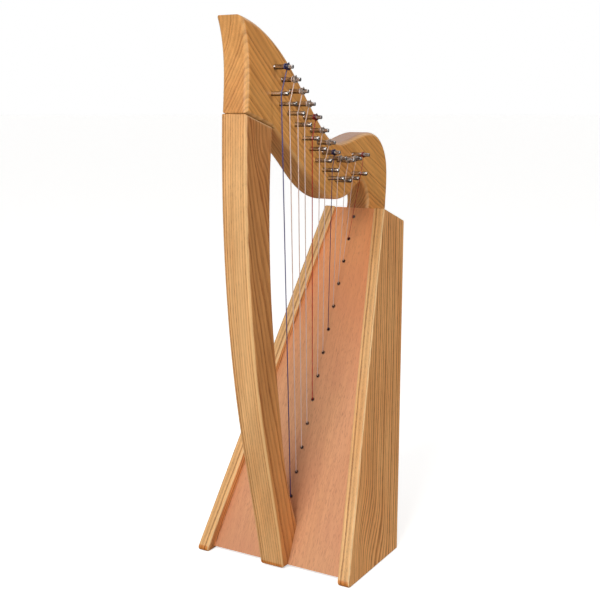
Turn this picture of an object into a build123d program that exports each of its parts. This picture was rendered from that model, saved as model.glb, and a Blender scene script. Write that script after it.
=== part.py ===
from build123d import *
import math
import os

# A small twelve-string lap harp. While it is drawn, x = 0 is close to the front
# edge of the soundbox's foot and +x points to the player, y = 0 is the middle
# plane with the strings' pins on the -y side, and z = 0 is the floor. Each node is
# moved along x on export so that the origin is in the middle of the harp's base.

# ---- soundbox ---------------------------------------------------------------
BOX_FOOT_FRONT_X = -4.0
BOX_TOP_FRONT = (193.5, 386.0)      # x, z of the side panels' corners
BOX_TOP_BACK = (244.8, 366.8)
BOX_DEPTH_FOOT = 119.5
HALF_WIDTH_FOOT = 98.9              # outside, at the floor
HALF_WIDTH_TOP = 40.0               # outside, at the top front corner
PANEL_THICK = 14.0
PANEL_EDGE_R = 1.8
PANEL_TOE_R = 4.0                   # the foot's front edge, rounder than the others
BOARD_FOOT_X = 10.3                 # where the soundboard's face would meet the floor
BOARD_SLOPE = 0.4875                # dx/dz of the soundboard's face
BOARD_THICK = 4.0
BOARD_CLEARANCE_FLOOR = 3.2         # the side panels stand this much below the boards
LINING_SIZE = 10.0
RIB_THICK = 5.0
RIB_HALF_WIDTH = 12.0
RIB_ENDS_Z = (40.0, 362.0)
BASE_THICK = 12.0
BACK_THICK = 5.0
BACK_RECESS = 3.0
TOP_BLOCK_FRONT_Z = 338.0           # lowest z of the block, at the soundboard
TOP_BLOCK_HEIGHT = 28.0             # from the neck's foot down to the screws' heads
LINING_TOP_Z = 332.0
SOUND_HOLES = ((85.0, 29.0), (165.0, 25.0), (240.0, 21.0))   # z of the middle, radius
WIDE = 150.0                        # half width of a blank before the taper trims it
TALL = 450.0                        # height of the tapered space, above the soundbox's top
THROUGH = 400.0                     # cuts and blanks that go right past the soundbox

# ---- pillar -----------------------------------------------------------------
WOOD_THICK = 30.0                   # pillar and neck are cut from one thickness
PILLAR_EDGE_R = 3.0
PILLAR_FRONT = ((-63.5, 497.6), (-64.8, 413), (-57.6, 293), (-40.5, 183), (-18.2, 89), (1.7, 2))
PILLAR_INSIDE = ((32.6, 45.7), (16.9, 86), (-1.0, 178), (-16.3, 291), (-20.6, 385), (-14.8, 483.8))
PILLAR_FOOT_Z = 2.0
JOINT_BEVEL = 0.8                   # the edges that meet at the joints are eased

# ---- neck -------------------------------------------------------------------
NECK_EDGE_R = 5.0
HEAD_FRONT = ((-63.5, 497.9), (-60.9, 533), (-63.2, 566), (-71.2, 589.8))
NECK_TOP = (
    (-71.2, 589.8), (-31, 578.5), (3, 559.5), (43, 525.5), (86, 485), (118, 466),
    (150, 466.5), (196, 474), (228, 468.6), (250, 445), (254.5, 420), (249.8, 366),
)
NECK_BELLY = ((-14.8, 484.1), (8, 467.5), (37, 446), (68, 421.5), (109, 402.9), (158, 405.6))
NECK_CROTCH = ((158, 405.6), (173, 414), (187, 416.5), (197, 407), (199, 384.2))

# ---- pins and strings, from the longest string to the shortest ---------------
TUNING_PINS = (
    (-11, 543), (3.6, 531), (19.3, 519.6), (33.3, 506.8), (47.4, 493.2), (62.6, 479.2),
    (77.5, 466), (89, 455), (103.9, 448), (122.4, 445), (140.6, 446.2), (160, 449.6),
)
BRIDGE_PINS = (
    (-17, 516.8), (-1.2, 506.8), (15.2, 497.4), (29.1, 485.7), (45.1, 471.3), (60.8, 459.7),
    (73.3, 446.9), (89.5, 435.8), (102, 426.1), (119.3, 422.8), (138, 424.3), (158.4, 428.3),
)
FIRST_HOLE_Z = 69.5
LAST_HOLE_Z = 348.6
HOLE_R = 1.6
STRING_D = (1.15, 1.1, 1.05, 1.0, 0.95, 0.9, 0.85, 0.8, 0.75, 0.7, 0.65, 0.6)
STRING_OFF_NECK = 12.5              # the strings pass the pins this far off the neck's face
STRING_GAP = 0.1                    # air between a string and the pin it bends round
STRING_WRAP_DEG = 250.0             # the fixed string's last part turn on its tuning pin
HOLE_BEND_R = 2.0
BEAD_R = 2.6
TUNING_PIN_R = 2.5
TUNING_PIN_PROUD = 21.2
TUNING_PIN_SUNK = 22.0
TUNING_PIN_FLATS = 5.2
TUNING_SQUARE = (4.3, 3.7)          # across the flats, at their root and at the end
TUNING_PIN_FOOT = 0.8               # the bevel at the sunk end
PIN_RUNNING_GAP = 0.05
BRIDGE_PIN_R = 2.25
BRIDGE_GROOVE_R = 1.7
BRIDGE_GROOVE_WIDTH = 2.6
BRIDGE_PIN_PROUD = 19.5
BRIDGE_PIN_SUNK = 15.0
BRIDGE_FIT_GAP = 0.02
COIL_TURNS = 3

# ---- joinery ----------------------------------------------------------------
DOWEL_R = 4.0
DOWEL_HALF_LENGTH = 16.0
DOWEL_X = (-50.0, -29.0)
SCREW_R = 2.0
SCREW_HEAD_R = 4.0
SCREW_HEAD = 3.0
NECK_SCREW_S = (20.0, 40.0)         # along the soundbox's top from its front corner
NECK_SCREW_LENGTH = 60.0
PILLAR_SCREW_Z = (17.0, 33.0)
PILLAR_SCREW_LENGTH = 22.0
JOINERY_GAP = 0.03
HOLE_EXTRA = 1.0                    # blind holes go this much deeper than what sits in them
DRIVER_REACH = 40.0                 # how far the way to a screw's head is kept clear


# ---- helpers ----------------------------------------------------------------
def at(x, z, y=0.0):
    return Vector(x, y, z)


def outline(*edges):
    return make_face(edges)


def polygon(points):
    return outline(*Polyline(*[at(*point) for point in points], close=True).edges())


def curve(points):
    return Spline(*[at(*point) for point in points])


def run(start, end):
    return Line(at(*start), at(*end))


def slab(face, half_width):
    """A side-view face thickened equally to both sides of the middle plane."""
    return extrude(face, amount=half_width, dir=(0, 1, 0), both=True)


def rod(radius, start, direction, length):
    """A round bar from start along direction."""
    return extrude(Plane(origin=start, z_dir=direction) * Circle(radius), amount=length)


def back_x(z):
    return BOX_DEPTH_FOOT + (BOX_TOP_BACK[0] - BOX_DEPTH_FOOT) / BOX_TOP_BACK[1] * z


def top_z(x):
    """Height of the sloping top cut of the soundbox."""
    slope = (BOX_TOP_BACK[1] - BOX_TOP_FRONT[1]) / (BOX_TOP_BACK[0] - BOX_TOP_FRONT[0])
    return BOX_TOP_FRONT[1] + slope * (x - BOX_TOP_FRONT[0])


def board_x(z):
    """The soundboard's front face."""
    return BOARD_FOOT_X + BOARD_SLOPE * z


def meet_top(x_of_z):
    """The point where a sloping line x = x_of_z(z) meets the soundbox's top cut."""
    z = BOX_TOP_FRONT[1]
    for _ in range(30):
        z = top_z(x_of_z(z))
    return (x_of_z(z), z)


def strip(near, far, low, high=None):
    """Side view of a board between two sloping lines, up to z = high or to the top cut."""
    top_near = (near(high), high) if high else meet_top(near)
    top_far = (far(high), high) if high else meet_top(far)
    return polygon(((near(low), low), (far(low), low), top_far, top_near))


BOARD_ANGLE = math.atan(BOARD_SLOPE)
BOARD_OUT = Vector(-math.cos(BOARD_ANGLE), 0, math.sin(BOARD_ANGLE))
TAPER = (HALF_WIDTH_FOOT - HALF_WIDTH_TOP) / BOX_TOP_FRONT[1]
TAPER_ANGLE = math.atan(TAPER)


def behind_board(depth):
    """The line that lies depth behind the soundboard's face."""
    return lambda z: board_x(z) + depth / math.cos(BOARD_ANGLE)


def before_back(depth):
    """The line that lies depth in front of the side panels' back edges."""
    angle = math.atan2(BOX_TOP_BACK[0] - BOX_DEPTH_FOOT, BOX_TOP_BACK[1])
    return lambda z: back_x(z) - depth / math.cos(angle)


def tapered_space(inset):
    """The space between the two side panels, less an inset on each side."""
    low = HALF_WIDTH_FOOT - (PANEL_THICK + inset) / math.cos(TAPER_ANGLE)
    high = low - TAPER * TALL
    corners = ((0, -low, 0), (0, low, 0), (0, high, TALL), (0, -high, TALL))
    face = make_face(Polyline(*corners, close=True).edges())
    return extrude(face, amount=THROUGH, dir=(1, 0, 0), both=True)


# ---- soundbox parts ---------------------------------------------------------
def side_panel(side):
    """side is -1 for the left panel and +1 for the right one."""
    face = polygon(((BOX_FOOT_FRONT_X, 0), (BOX_DEPTH_FOOT, 0), BOX_TOP_BACK, BOX_TOP_FRONT))
    inward = (0, -side * math.cos(TAPER_ANGLE), -math.sin(TAPER_ANGLE))
    plane = Plane(origin=(0, side * HALF_WIDTH_FOOT, 0), x_dir=(1, 0, 0), z_dir=inward)
    board = extrude(plane * Rectangle(3 * THROUGH, 3 * THROUGH), amount=PANEL_THICK)
    panel = slab(face, WIDE) & board
    toe = panel.edges().sort_by(lambda edge: edge.center().X + edge.center().Z)[0]
    panel = fillet(toe, PANEL_TOE_R)

    def smooth(edge):
        """The round toe runs smoothly into the flats beside it."""
        return abs((edge % 0.5).Y) > 0.9 and edge.center().X < 2 * PANEL_TOE_R

    return fillet([edge for edge in panel.edges() if not smooth(edge)], PANEL_EDGE_R)


def string_hole_positions():
    step = (LAST_HOLE_Z - FIRST_HOLE_Z) / (len(TUNING_PINS) - 1)
    heights = [FIRST_HOLE_Z + step * number for number in range(len(TUNING_PINS))]
    return [(board_x(z), z) for z in heights]


def string_hole_drills():
    reach = BOARD_THICK + RIB_THICK + 2
    return [rod(HOLE_R, at(x, z) + BOARD_OUT, -BOARD_OUT, reach) for x, z in string_hole_positions()]


def pillar_screw_axes():
    """Start (at the screw's head, behind the soundboard) and direction of each."""
    return [at(behind_board(BOARD_THICK)(z), z) for z in PILLAR_SCREW_Z], BOARD_OUT


def neck_screw_axes():
    """Start (at the screw's head, under the top block) and direction of each."""
    along = (at(*BOX_TOP_BACK) - at(*BOX_TOP_FRONT)).normalized()
    up = Vector(-along.Z, 0, along.X)
    starts = [at(*BOX_TOP_FRONT) + along * s - up * TOP_BLOCK_HEIGHT for s in NECK_SCREW_S]
    return starts, up


def screw(start, direction, length):
    head = rod(SCREW_HEAD_R, start, -direction, SCREW_HEAD)
    return head + rod(SCREW_R, start, direction, length)


def soundboard():
    face = strip(board_x, behind_board(BOARD_THICK), BOARD_CLEARANCE_FLOOR)
    board = slab(face, WIDE) & tapered_space(0)
    for drill in string_hole_drills():
        board -= drill
    starts, direction = pillar_screw_axes()
    for start in starts:
        board -= rod(SCREW_R + JOINERY_GAP, start - direction * 2, direction, BOARD_THICK + 4)
    return board


def string_rib():
    face = strip(behind_board(BOARD_THICK), behind_board(BOARD_THICK + RIB_THICK), *RIB_ENDS_Z)
    rib = slab(face, RIB_HALF_WIDTH)
    rib = fillet(rib.edges().filter_by(lambda edge: edge.length > 200).sort_by(Axis.X)[-2:], 2.0)
    for drill in string_hole_drills():
        rib -= drill
    return rib


def linings():
    """Square strips glued inside the side panels, behind the soundboard's edges."""
    low = BOARD_CLEARANCE_FLOOR + BASE_THICK
    face = strip(behind_board(BOARD_THICK), behind_board(BOARD_THICK + LINING_SIZE), low, LINING_TOP_Z)
    strips = slab(face, WIDE) & (tapered_space(0) - tapered_space(LINING_SIZE))
    return strips.solids().sort_by(Axis.Y)


def base_board():
    low = BOARD_CLEARANCE_FLOOR
    face = strip(behind_board(BOARD_THICK), before_back(BACK_RECESS + BACK_THICK), low, low + BASE_THICK)
    base = slab(face, WIDE) & tapered_space(0)
    starts, direction = pillar_screw_axes()
    for start in starts:
        base -= rod(SCREW_HEAD_R + 1.0, start, -direction, DRIVER_REACH)
    return base


def back_panel():
    face = strip(before_back(BACK_RECESS + BACK_THICK), before_back(BACK_RECESS), BOARD_CLEARANCE_FLOOR)
    panel = slab(face, WIDE) & tapered_space(0)
    lean = math.atan2(BOX_TOP_BACK[0] - BOX_DEPTH_FOOT, BOX_TOP_BACK[1])
    outward = Vector(math.cos(lean), 0, -math.sin(lean))
    for z, radius in SOUND_HOLES:
        panel -= rod(radius, at(back_x(z), z) + outward * 10, -outward, 30)
    return panel


def top_block():
    near = behind_board(BOARD_THICK)
    far = before_back(BACK_RECESS + BACK_THICK)
    along = (BOX_TOP_BACK[1] - BOX_TOP_FRONT[1]) / (BOX_TOP_BACK[0] - BOX_TOP_FRONT[0])
    low_near = (near(TOP_BLOCK_FRONT_Z), TOP_BLOCK_FRONT_Z)
    far_z = TOP_BLOCK_FRONT_Z
    for _ in range(30):
        far_z = TOP_BLOCK_FRONT_Z + along * (far(far_z) - low_near[0])
    face = polygon((low_near, (far(far_z), far_z), meet_top(far), meet_top(near)))
    block = slab(face, WIDE) & tapered_space(0)
    rib_space = strip(behind_board(0), behind_board(BOARD_THICK + RIB_THICK), 300.0, RIB_ENDS_Z[1])
    block -= slab(rib_space, RIB_HALF_WIDTH)
    starts, up = neck_screw_axes()
    for start in starts:
        block -= rod(SCREW_R + JOINERY_GAP, start - up, up, NECK_SCREW_LENGTH)
        block -= rod(SCREW_HEAD_R + 0.5, start, -up, DRIVER_REACH)
    x, z = string_hole_positions()[-1]
    block -= rod(BEAD_R + 1.5, at(x, z), -BOARD_OUT, BOARD_THICK + RIB_THICK + 8)
    return block


# ---- pillar and neck --------------------------------------------------------
def rounded(solid, radius, keep_square, toe=None):
    """Rounds the edges of both flat sides, but not where keep_square is true.

    toe is the x, z of a corner whose edge, from side to side, is rounded too."""
    half = WOOD_THICK / 2
    flat = [edge for edge in solid.edges() if abs(abs(edge.center().Y) - half) < 0.01]
    edges = [edge for edge in flat if not keep_square(edge.center())]
    if toe:
        across = [(edge, at(*toe, edge.center().Y)) for edge in solid.edges()]
        edges += [edge for edge, corner_there in across if (edge.center() - corner_there).length < 0.01]
    return fillet(edges, radius)


def eased(wood, start, end, normal, edge_r, goes_on=False):
    """Bevels the edges of a flat end. Its side view runs from start to end.

    goes_on is true where the wood carries on past end, so that it has no edge there."""
    along, reach = (end - start).normalized(), JOINT_BEVEL + HOLE_EXTRA
    kept_end = end + along * WOOD_THICK if goes_on else end
    cut_end = end - along * JOINT_BEVEL if goes_on else end + along * reach

    def plane(low, high, depth):
        return Plane(origin=(low + high) / 2 - normal * depth, x_dir=along, z_dir=normal)

    def section(depth):
        grown, length = 2 * (depth - JOINT_BEVEL), (kept_end - start).length
        outline_there = RectangleRounded(length + grown, WOOD_THICK + grown, edge_r + grown / 2)
        return plane(start, kept_end, depth) * outline_there

    cut_start = start - along * reach
    blank = plane(cut_start, cut_end, 0) * Rectangle((cut_end - cut_start).length, 2 * WOOD_THICK)
    return wood - (extrude(blank, amount=-reach) - loft([section(0), section(reach)]))


def dowel_starts():
    """Middle of each dowel, on the joint between pillar and neck."""
    (x0, z0), (x1, z1) = PILLAR_FRONT[0], PILLAR_INSIDE[-1]
    return [at(x, z0 + (z1 - z0) * (x - x0) / (x1 - x0)) for x in DOWEL_X]


def joint_normal():
    (x0, z0), (x1, z1) = PILLAR_FRONT[0], PILLAR_INSIDE[-1]
    return Vector(z0 - z1, 0, x1 - x0).normalized()


def dowels():
    up, half = joint_normal(), DOWEL_HALF_LENGTH
    return [rod(DOWEL_R, start - up * half, up, 2 * half) for start in dowel_starts()]


def drill_dowels(wood):
    up = joint_normal()
    half = DOWEL_HALF_LENGTH + HOLE_EXTRA
    for start in dowel_starts():
        wood -= rod(DOWEL_R + JOINERY_GAP, start - up * half, up, 2 * half)
    return wood


def pillar():
    foot_back = (board_x(PILLAR_FOOT_Z), PILLAR_FOOT_Z)
    inside_foot = (board_x(PILLAR_INSIDE[0][1]), PILLAR_INSIDE[0][1])
    face = outline(
        curve(PILLAR_FRONT), run(PILLAR_FRONT[-1], foot_back), run(foot_back, inside_foot),
        curve((inside_foot, *PILLAR_INSIDE[1:])), run(PILLAR_INSIDE[-1], PILLAR_FRONT[0]),
    )
    wood = slab(face, WOOD_THICK / 2)
    wood = rounded(wood, PILLAR_EDGE_R, lambda c: abs(c.X - board_x(c.Z)) < 0.5, PILLAR_FRONT[-1])
    wood = eased(wood, at(*PILLAR_FRONT[0]), at(*PILLAR_INSIDE[-1]), joint_normal(), PILLAR_EDGE_R)
    starts, direction = pillar_screw_axes()
    for start in starts:
        wood -= rod(SCREW_R + JOINERY_GAP, start, direction, PILLAR_SCREW_LENGTH + HOLE_EXTRA)
    return drill_dowels(wood)


def pin_bore(x, z, radius, depth):
    """A blind hole in the neck's left face, a little deeper than its pin."""
    return rod(radius, at(x, z, -WOOD_THICK), (0, 1, 0), WOOD_THICK / 2 + depth + HOLE_EXTRA)


def neck():
    leg_back = (NECK_TOP[-1][0], top_z(NECK_TOP[-1][0]))
    leg_front = (NECK_CROTCH[-1][0], top_z(NECK_CROTCH[-1][0]))
    face = outline(
        curve(HEAD_FRONT), curve((*NECK_TOP[:-1], leg_back)), run(leg_back, leg_front),
        curve((leg_front, *reversed(NECK_CROTCH[:-1]))), curve(tuple(reversed(NECK_BELLY))),
        run(NECK_BELLY[0], HEAD_FRONT[0]),
    )
    wood = slab(face, WOOD_THICK / 2)
    wood = rounded(wood, NECK_EDGE_R, lambda c: abs(c.Z - top_z(c.X)) < 0.5)
    wood = eased(wood, at(*HEAD_FRONT[0]), at(*NECK_BELLY[0]), -joint_normal(), NECK_EDGE_R, goes_on=True)
    wood = eased(wood, at(*leg_front), at(*leg_back), -neck_screw_axes()[1], NECK_EDGE_R)
    for x, z in TUNING_PINS:
        wood -= pin_bore(x, z, TUNING_PIN_R + PIN_RUNNING_GAP, TUNING_PIN_SUNK)
    for x, z in BRIDGE_PINS:
        wood -= pin_bore(x, z, BRIDGE_PIN_R + BRIDGE_FIT_GAP, BRIDGE_PIN_SUNK)
    starts, up = neck_screw_axes()
    for start in starts:
        wood -= rod(SCREW_R + JOINERY_GAP, start, up, NECK_SCREW_LENGTH + HOLE_EXTRA)
    return drill_dowels(wood)


# ---- pins -------------------------------------------------------------------
FACE_Y = -WOOD_THICK / 2
STRING_Y = FACE_Y - STRING_OFF_NECK


def turned(profile, x, z):
    """Turns a profile of (radius, y) points into a round part about an axis along y."""
    face = make_face(Polyline(*[(x + r, y, z) for r, y in profile], close=True).edges())
    return revolve(face, axis=Axis((x, 0, z), (0, 1, 0)), revolution_arc=360)


def tuning_pin(x, z):
    tip = FACE_Y - TUNING_PIN_PROUD
    sunk = FACE_Y + TUNING_PIN_SUNK
    profile = (
        (0, sunk), (TUNING_PIN_R - TUNING_PIN_FOOT, sunk), (TUNING_PIN_R, sunk - TUNING_PIN_FOOT),
        (TUNING_PIN_R, tip + 0.9),
        (TUNING_PIN_R - 0.3, tip + 0.3), (TUNING_PIN_R - 0.9, tip), (0, tip),
    )
    pin = turned(profile, x, z)
    flats_root = at(x, z, tip + TUNING_PIN_FLATS)
    square_root = Plane(origin=flats_root, x_dir=(1, 0, 0), z_dir=(0, -1, 0))
    slope = math.degrees(math.atan((TUNING_SQUARE[0] - TUNING_SQUARE[1]) / 2 / TUNING_PIN_FLATS))
    side = TUNING_SQUARE[0]
    square = extrude(square_root * Rectangle(side, side), amount=TUNING_PIN_FLATS + 1, taper=slope)
    collar = rod(TUNING_PIN_R * 2, flats_root, (0, -1, 0), TUNING_PIN_FLATS + 1)
    return pin - (collar - square)


def bridge_pin(x, z):
    tip = FACE_Y - BRIDGE_PIN_PROUD
    sunk = FACE_Y + BRIDGE_PIN_SUNK
    half = BRIDGE_GROOVE_WIDTH / 2
    profile = (
        (0, sunk), (BRIDGE_PIN_R, sunk), (BRIDGE_PIN_R, STRING_Y + half),
        (BRIDGE_GROOVE_R, STRING_Y + half / 2), (BRIDGE_GROOVE_R, STRING_Y - half / 2),
        (BRIDGE_PIN_R, STRING_Y - half), (BRIDGE_PIN_R, tip + 0.9),
        (BRIDGE_PIN_R - 0.4, tip + 0.25), (BRIDGE_PIN_R - 1.1, tip), (0, tip),
    )
    return turned(profile, x, z)


def winding(x, z, string_d):
    """The coil of string that turns with its pin, as one scalloped ring."""
    inner = TUNING_PIN_R + 0.02
    outermost = STRING_Y - string_d / 2 - STRING_GAP
    profile = [(inner, outermost)]
    for turn in range(COIL_TURNS):
        start = outermost - turn * string_d
        profile.append((inner + 0.6 * string_d, start))
        profile.append((inner + string_d, start - 0.25 * string_d))
        profile.append((inner + string_d, start - 0.75 * string_d))
    end = outermost - COIL_TURNS * string_d
    profile.append((inner + 0.6 * string_d, end))
    profile.append((inner, end))
    return turned(profile, x, z)


# ---- strings ----------------------------------------------------------------
def cross_tangent(low, low_r, high, high_r):
    """Touch points of the line that passes a low circle on its -x side and a high one on +x."""
    dx, dz = high[0] - low[0], high[1] - low[1]
    span = math.hypot(dx, dz)
    angle = math.atan2(dz, dx) - math.acos(-(low_r + high_r) / span)
    mx, mz = math.cos(angle), math.sin(angle)
    touch_low = (low[0] - low_r * mx, low[1] - low_r * mz)
    touch_high = (high[0] + high_r * mx, high[1] + high_r * mz)
    return touch_low, touch_high, angle


def corner(before, point, after, radius):
    """Tangent arc at a corner of a route: its two end points and its middle point."""
    into, out = (point - before).normalized(), (after - point).normalized()
    half_turn = math.radians(into.get_angle(out)) / 2
    setback = radius * math.tan(half_turn)
    bisector = (out - into).normalized()
    middle = point + bisector * (radius / math.cos(half_turn) - radius)
    return point - into * setback, middle, point + out * setback


def string_route(number):
    """Edges of one string: bead, hole, bridge pin, tuning pin and part of a turn on it."""
    radius = STRING_D[number] / 2
    hole_x, hole_z = string_hole_positions()[number]
    bridge, tuner = BRIDGE_PINS[number], TUNING_PINS[number]
    bridge_r = BRIDGE_GROOVE_R + radius + STRING_GAP
    tuner_r = TUNING_PIN_R + radius + STRING_GAP
    touch_low, touch_high, angle = cross_tangent(bridge, bridge_r, tuner, tuner_r)
    inside = at(hole_x, hole_z) - BOARD_OUT * (BOARD_THICK + RIB_THICK + BEAD_R)
    mouth = at(hole_x, hole_z) + BOARD_OUT * 1.2
    # The string's corner is where the bridge's two tangents meet: the upper run, and
    # the one that comes up from the hole and clears the bridge pin by the same gap.
    rise = math.atan2(bridge[1] - mouth.Z, bridge[0] - mouth.X)
    reach = math.hypot(bridge[1] - mouth.Z, bridge[0] - mouth.X)
    lower = rise + math.asin(bridge_r / reach)
    ux, uz = math.cos(lower), math.sin(lower)
    vx, vz = touch_high[0] - touch_low[0], touch_high[1] - touch_low[1]
    t = ((touch_low[0] - mouth.X) * vz - (touch_low[1] - mouth.Z) * vx) / (ux * vz - uz * vx)
    bend = at(mouth.X + t * ux, mouth.Z + t * uz, STRING_Y)
    end = at(*touch_high, STRING_Y)
    first = corner(inside, mouth, bend, HOLE_BEND_R)
    second = corner(mouth, bend, end, bridge_r)
    turn = math.radians(STRING_WRAP_DEG)

    def on_pin(angle_more):
        around = angle + angle_more
        return at(tuner[0] + tuner_r * math.cos(around), tuner[1] + tuner_r * math.sin(around), STRING_Y)

    return [
        Line(inside, first[0]), ThreePointArc(*first), Line(first[2], second[0]), ThreePointArc(*second),
        Line(second[2], end), ThreePointArc(end, on_pin(turn / 2), on_pin(turn)),
    ]


def string_solid(number):
    edges = string_route(number)
    path = Wire([edge.edge() for edge in edges])
    section = Plane(origin=path @ 0, z_dir=path % 0) * Circle(STRING_D[number] / 2)
    solid = sweep(section, path=path)
    share = solid.volume / (math.pi * STRING_D[number] ** 2 / 4 * path.length)
    print(f"string {number + 1}: {path.length:.1f} mm, volume is {share:.4f} of section x length")
    return solid


def bead(number):
    """The knot that holds a string behind the rib, drawn as a ball."""
    x, z = string_hole_positions()[number]
    middle = at(x, z) - BOARD_OUT * (BOARD_THICK + RIB_THICK + BEAD_R + 0.05)
    ball = Pos(middle.X, middle.Y, middle.Z) * Sphere(BEAD_R)
    return ball - rod(STRING_D[number] / 2 + 0.02, middle, BOARD_OUT, BEAD_R + 1)


# ---- assembly and export ----------------------------------------------------
def nodes():
    left_lining, right_lining = linings()
    named = {
        "side_panel_left": side_panel(-1),
        "side_panel_right": side_panel(1),
        "soundboard": soundboard(),
        "back_panel": back_panel(),
        "base_board": base_board(),
        "top_block": top_block(),
        "string_rib": string_rib(),
        "lining_left": left_lining,
        "lining_right": right_lining,
        "pillar": pillar(),
        "neck": neck(),
        "neck_dowels": Compound(dowels()),
        "bridge_pins": Compound([bridge_pin(x, z) for x, z in BRIDGE_PINS]),
        "string_beads": Compound([bead(number) for number in range(len(STRING_D))]),
    }
    starts, up = neck_screw_axes()
    named["neck_screws"] = Compound([screw(start, up, NECK_SCREW_LENGTH) for start in starts])
    starts, out = pillar_screw_axes()
    named["pillar_screws"] = Compound([screw(start, out, PILLAR_SCREW_LENGTH) for start in starts])
    for number, (x, z) in enumerate(TUNING_PINS):
        named[f"tuning_pin_{number + 1:02d}"] = tuning_pin(x, z)
        named[f"string_winding_{number + 1:02d}"] = winding(x, z, STRING_D[number])
        named[f"string_{number + 1:02d}"] = string_solid(number)
    return named


def main():
    os.makedirs("parts", exist_ok=True)
    named = nodes()
    wood = named["neck"].bounding_box()
    middle_x = round((wood.min.X + wood.max.X) / 2, 1)
    print(f"the origin is at x = {middle_x:.2f}")
    for name, shape in named.items():
        export_step(Pos(-middle_x, 0, 0) * shape, f"parts/{name}.step")


main()
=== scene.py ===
import math

import bmesh
import bpy
import numpy as np
from mathutils import Matrix, Vector


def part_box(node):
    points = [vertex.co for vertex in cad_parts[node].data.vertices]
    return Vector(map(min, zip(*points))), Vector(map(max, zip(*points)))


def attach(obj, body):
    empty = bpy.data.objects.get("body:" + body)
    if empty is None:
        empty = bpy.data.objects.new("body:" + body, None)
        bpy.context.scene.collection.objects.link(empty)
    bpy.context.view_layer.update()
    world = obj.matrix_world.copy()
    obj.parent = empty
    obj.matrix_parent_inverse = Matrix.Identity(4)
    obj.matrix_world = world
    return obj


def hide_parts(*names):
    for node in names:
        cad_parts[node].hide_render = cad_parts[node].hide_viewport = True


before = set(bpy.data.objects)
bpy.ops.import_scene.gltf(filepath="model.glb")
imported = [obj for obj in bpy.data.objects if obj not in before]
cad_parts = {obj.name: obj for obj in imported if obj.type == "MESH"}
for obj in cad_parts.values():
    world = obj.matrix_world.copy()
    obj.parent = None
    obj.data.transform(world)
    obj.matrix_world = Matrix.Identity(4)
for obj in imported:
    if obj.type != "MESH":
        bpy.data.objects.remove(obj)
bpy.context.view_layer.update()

# A small twelve-string lap harp in oiled ash with a pinkish soundboard, nickel
# bridge pins, steel tuning pins and nylon strings. Everything is in metres in the
# frame of the CAD model: -x is the pillar's side, the strings' pins are on the -y
# side and z = 0 is the floor.
MM = 0.001
STRINGS = 12
DYED_STRINGS = {0: "string_blue", 4: "string_red", 7: "string_blue", 11: "string_red"}

# ---- sizes shared with the CAD source ----------------------------------------
BOARD_SLOPE = 0.4875                # dx/dz of the soundboard's face
BOARD_THICK = 4.0 * MM
RIB_THICK = 5.0 * MM
BEAD_R = 2.6 * MM
BEAD_GAP = 0.05 * MM                # between a bead and the rib
HOLE_R = 1.6 * MM
FACE_Y = -15.0 * MM                 # the neck's left face
STRING_Y = FACE_Y - 12.5 * MM       # the plane of the strings
STRING_GAP = 0.1 * MM
LONGEST_STRING_D = 1.15 * MM
STRING_D_STEP = 0.05 * MM           # each string is this much thinner than the one before
STRING_WRAP = math.radians(250)
HOLE_BEND_R = 2.0 * MM
TUNING_PIN_R = 2.5 * MM
TUNING_PIN_FLATS = 5.2 * MM
TUNING_SQUARE = (4.3 * MM, 3.7 * MM)
BRIDGE_PIN_R = 2.25 * MM
BRIDGE_GROOVE_R = 1.7 * MM
BRIDGE_GROOVE_WIDTH = 2.6 * MM
COIL_TURNS = 3

BOARD_ANGLE = math.atan(BOARD_SLOPE)
BOARD_OUT = Vector((-math.cos(BOARD_ANGLE), 0, math.sin(BOARD_ANGLE)))
BOARD_UP = Vector((math.sin(BOARD_ANGLE), 0, math.cos(BOARD_ANGLE)))


def string_diameter(number):
    return LONGEST_STRING_D - STRING_D_STEP * number


def string_slot(number):
    """Strings 1 and 8 are blue and strings 5 and 12 red; number counts from 0."""
    return DYED_STRINGS.get(number, "string_natural")


# ---- places read from the frame ----------------------------------------------
def islands(node):
    """Lowest and highest corner of each separate solid in a CAD node."""
    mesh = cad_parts[node].data
    work = bmesh.new()
    work.from_mesh(mesh)
    bmesh.ops.remove_doubles(work, verts=work.verts, dist=1e-6)
    left, found = set(work.verts), []
    while left:
        group, waiting = [], [left.pop()]
        while waiting:
            vertex = waiting.pop()
            group.append(vertex)
            neighbours = {edge.other_vert(vertex) for edge in vertex.link_edges} & left
            left -= neighbours
            waiting.extend(neighbours)
        points = np.array([vertex.co for vertex in group])
        found.append((Vector(points.min(0)), Vector(points.max(0))))
    work.free()
    return found


def middle_of(corners):
    return (corners[0] + corners[1]) / 2


TUNING_PINS = [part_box(f"tuning_pin_{n + 1:02d}") for n in range(STRINGS)]
BRIDGE_PINS = sorted(islands("bridge_pins"), key=lambda box: box[0].x)
BEADS = sorted((middle_of(box) for box in islands("string_beads")), key=lambda point: point.z)
BEAD_TO_HOLE = BOARD_OUT * (BOARD_THICK + RIB_THICK + BEAD_R + BEAD_GAP)
HOLES = [Vector((bead.x, 0, bead.z)) + BEAD_TO_HOLE for bead in BEADS]


# ---- camera ------------------------------------------------------------------
def look_from(location, azimuth, elevation, lens):
    data = bpy.data.cameras.new("camera")
    data.sensor_width = 36
    data.lens = lens
    camera = bpy.data.objects.new("camera", data)
    bpy.context.scene.collection.objects.link(camera)
    a, e = math.radians(azimuth), math.radians(elevation)
    back = Vector((math.sin(a) * math.cos(e), -math.cos(a) * math.cos(e), math.sin(e)))
    camera.location = location
    camera.rotation_mode = "QUATERNION"
    camera.rotation_quaternion = back.to_track_quat("Z", "Y")
    bpy.context.scene.camera = camera


look_from((-1.0022, -0.5681, 0.5050), azimuth=-59.77, elevation=10.65, lens=61.97)


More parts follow.
